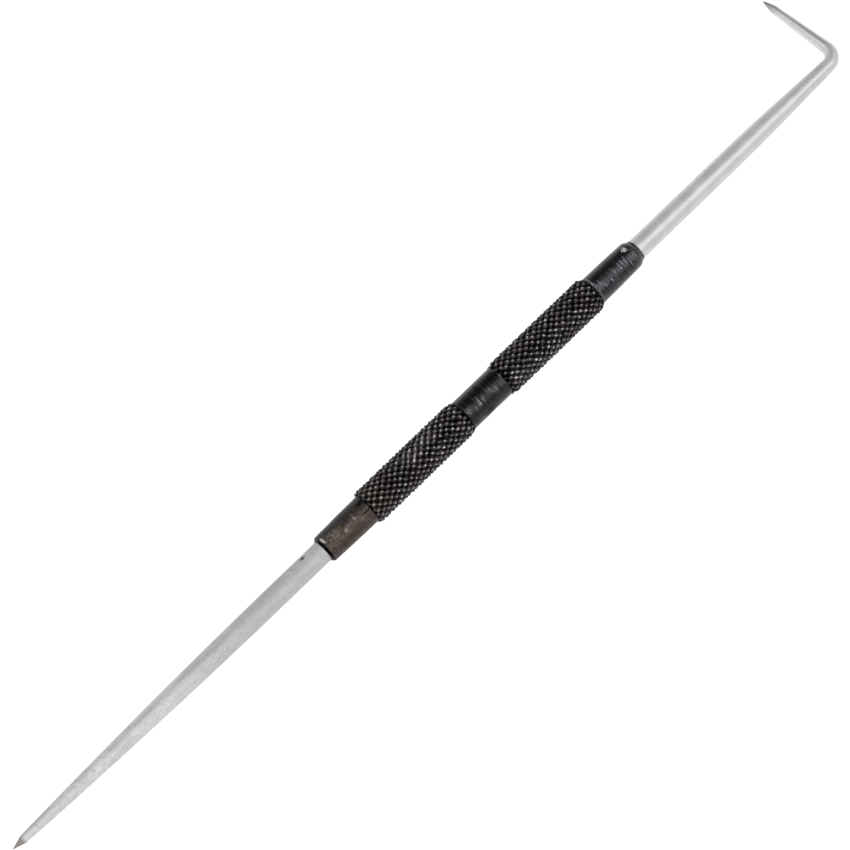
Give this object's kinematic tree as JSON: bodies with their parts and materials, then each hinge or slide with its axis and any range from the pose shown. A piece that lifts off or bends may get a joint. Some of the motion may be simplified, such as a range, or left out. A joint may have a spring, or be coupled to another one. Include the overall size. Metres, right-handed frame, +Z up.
{
  "type": "double-ended scratch awl",
  "caption": "Double-ended steel scratch awl: a blackened handle with two diamond-knurled grips, a long straight tapered point at one end and a point bent square at the other.",
  "frame": {"origin": "centre of the footprint, on the surface the tool lies on", "axes": "+X along the handle's axis towards the bent point, +Y the side the bent leg points to, +Z up"},
  "size_m": [0.2291, 0.0242, 0.008],
  "materials": {
    "black_oxide_steel": "black oxide on turned and knurled steel, satin, worn bright on the knurl's tips",
    "ground_steel": "fine ground, matt grey",
    "bright_steel": "polished along the rod"
  },
  "bodies": {
    "root": {"handle_body": "black_oxide_steel", "straight_point": "ground_steel", "hook_point": "bright_steel"}
  },
  "joints": []
}
